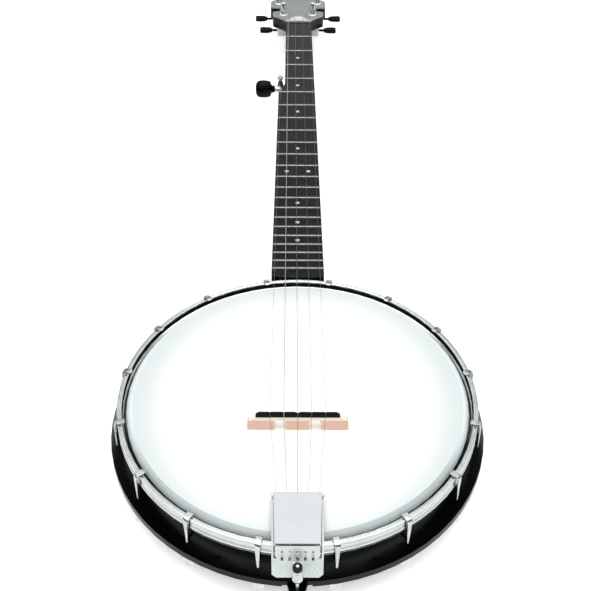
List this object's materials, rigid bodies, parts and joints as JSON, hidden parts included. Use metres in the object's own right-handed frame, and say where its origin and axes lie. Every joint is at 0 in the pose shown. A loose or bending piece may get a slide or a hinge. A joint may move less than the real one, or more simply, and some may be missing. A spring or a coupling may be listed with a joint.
{
  "type": "open-back banjo",
  "caption": "Open-back five-string banjo with a cast pot, hook-tensioned head, fretted neck, geared tuners and a hinged tailpiece cover.",
  "frame": {"origin": "centre of the bounding box at its base, the plane of the rim's foot that the banjo lies on", "axes": "+Z out of the head, +Y along the neck to the headstock, +X to the treble side"},
  "size_m": [0.3088, 0.9046, 0.0763],
  "materials": {
    "black_cast": "gloss black paint on cast aluminium",
    "coated_head": "frosted white film",
    "bare_aluminium": "satin",
    "chrome": "polished",
    "black_neck": "satin black lacquer",
    "fingerboard_black": "matte black with nickel frets",
    "nut_white": "satin white",
    "headstock_grey": "satin grey veneer",
    "bridge_maple": "plain maple",
    "bridge_ebony": "plain ebony",
    "steel": "plated",
    "dark_steel": "knurled, dark nickel",
    "string_steel": "bright wire",
    "black_button": "gloss black"
  },
  "bodies": {
    "banjo": {"rim": "black_cast", "head": "coated_head", "flesh_hoop": "bare_aluminium", "tension_hoop": "chrome", "neck": "black_neck", "fingerboard": "fingerboard_black", "nut": "nut_white", "fifth_string_pip": "nut_white", "truss_rod": "steel", "truss_rod_cover": "nut_white", "headstock_veneer": "headstock_grey", "tailpiece_body": "chrome", "tailpiece_hinge_pin": "steel", "tailpiece_bolt": "chrome", "coordinator_rod": "steel", "end_bolt": "steel", "neck_hanger_bolt": "steel", "neck_bolt_nut": "steel", "fifth_tuner_housing": "chrome", "hook_01": "chrome", "hook_02": "chrome", "hook_03": "chrome", "hook_04": "chrome", "hook_05": "chrome", "hook_06": "chrome", "hook_07": "chrome", "hook_08": "chrome", "hook_09": "chrome", "hook_10": "chrome", "hook_11": "chrome", "hook_12": "chrome", "hook_13": "chrome", "hook_14": "chrome", "hook_15": "chrome", "hook_16": "chrome", "string_1": "string_steel", "string_2": "string_steel", "string_3": "string_steel", "string_4": "string_steel", "string_5": "string_steel", "tuner_housing_bass_low": "chrome", "tuner_housing_bass_high": "chrome", "tuner_housing_treble_low": "chrome", "tuner_housing_treble_high": "chrome"},
    "bridge": {"bridge_base": "bridge_maple", "bridge_cap": "bridge_ebony"},
    "tailpiece_cover": {"tailpiece_lid": "chrome"},
    "thumb_nut": {"tailpiece_thumb_nut": "dark_steel"},
    "fifth_post": {"fifth_tuner_post": "chrome"},
    "fifth_button": {"fifth_tuner_button": "black_button"},
    "post_bass_low": {"tuner_post_bass_low": "chrome"},
    "button_bass_low": {"tuner_button_bass_low": "black_button"},
    "post_bass_high": {"tuner_post_bass_high": "chrome"},
    "button_bass_high": {"tuner_button_bass_high": "black_button"},
    "post_treble_low": {"tuner_post_treble_low": "chrome"},
    "button_treble_low": {"tuner_button_treble_low": "black_button"},
    "post_treble_high": {"tuner_post_treble_high": "chrome"},
    "button_treble_high": {"tuner_button_treble_high": "black_button"}
  },
  "joints": [
    {"name": "bridge_shift", "type": "slide", "parent": "banjo", "child": "bridge", "axis": [0, 1, 0], "range_m": [-0.0015, 0.0015]},
    {"name": "tailpiece_cover_hinge", "type": "hinge", "parent": "banjo", "child": "tailpiece_cover", "pos_m": [0, -0.3924, 0.0686], "axis": [-1, 0, 0], "range_deg": [0, 85]},
    {"name": "thumb_nut_turn", "type": "hinge", "parent": "banjo", "child": "thumb_nut", "pos_m": [0, -0.4469, 0.0532], "axis": [0, 0, 1], "continuous": true},
    {"name": "button_bass_low_turn", "type": "hinge", "parent": "banjo", "child": "button_bass_low", "pos_m": [-0.018, 0.37293, 0.03144], "axis": [1, 0, 0], "continuous": true},
    {"name": "post_bass_low_turn", "type": "hinge", "parent": "banjo", "child": "post_bass_low", "pos_m": [-0.018, 0.3767, 0.05037], "axis": [0, 0.1953, 0.9807], "continuous": true},
    {"name": "button_bass_high_turn", "type": "hinge", "parent": "banjo", "child": "button_bass_high", "pos_m": [-0.025, 0.42001, 0.02207], "axis": [1, 0, 0], "continuous": true},
    {"name": "post_bass_high_turn", "type": "hinge", "parent": "banjo", "child": "post_bass_high", "pos_m": [-0.025, 0.42377, 0.041], "axis": [0, 0.1953, 0.9807], "continuous": true},
    {"name": "button_treble_low_turn", "type": "hinge", "parent": "banjo", "child": "button_treble_low", "pos_m": [0.018, 0.37293, 0.03144], "axis": [1, 0, 0], "continuous": true},
    {"name": "post_treble_low_turn", "type": "hinge", "parent": "banjo", "child": "post_treble_low", "pos_m": [0.018, 0.3767, 0.05037], "axis": [0, 0.1953, 0.9807], "continuous": true},
    {"name": "button_treble_high_turn", "type": "hinge", "parent": "banjo", "child": "button_treble_high", "pos_m": [0.025, 0.42001, 0.02207], "axis": [1, 0, 0], "continuous": true},
    {"name": "post_treble_high_turn", "type": "hinge", "parent": "banjo", "child": "post_treble_high", "pos_m": [0.025, 0.42377, 0.041], "axis": [0, 0.1953, 0.9807], "continuous": true},
    {"name": "button_fifth_turn", "type": "hinge", "parent": "banjo", "child": "fifth_button", "pos_m": [-0.0263, 0.20573, 0.0484], "axis": [1, 0, 0], "continuous": true},
    {"name": "post_fifth_turn", "type": "hinge", "parent": "banjo", "child": "fifth_post", "pos_m": [-0.02, 0.20573, 0.0484], "axis": [0, 0.022, 0.9998], "continuous": true}
  ],
  "couplings": [
    {"joint": "post_bass_low_turn", "follows": "button_bass_low_turn", "ratio": -0.071429},
    {"joint": "post_bass_high_turn", "follows": "button_bass_high_turn", "ratio": -0.071429},
    {"joint": "post_treble_low_turn", "follows": "button_treble_low_turn", "ratio": 0.071429},
    {"joint": "post_treble_high_turn", "follows": "button_treble_high_turn", "ratio": 0.071429},
    {"joint": "post_fifth_turn", "follows": "button_fifth_turn", "ratio": -0.071429}
  ]
}
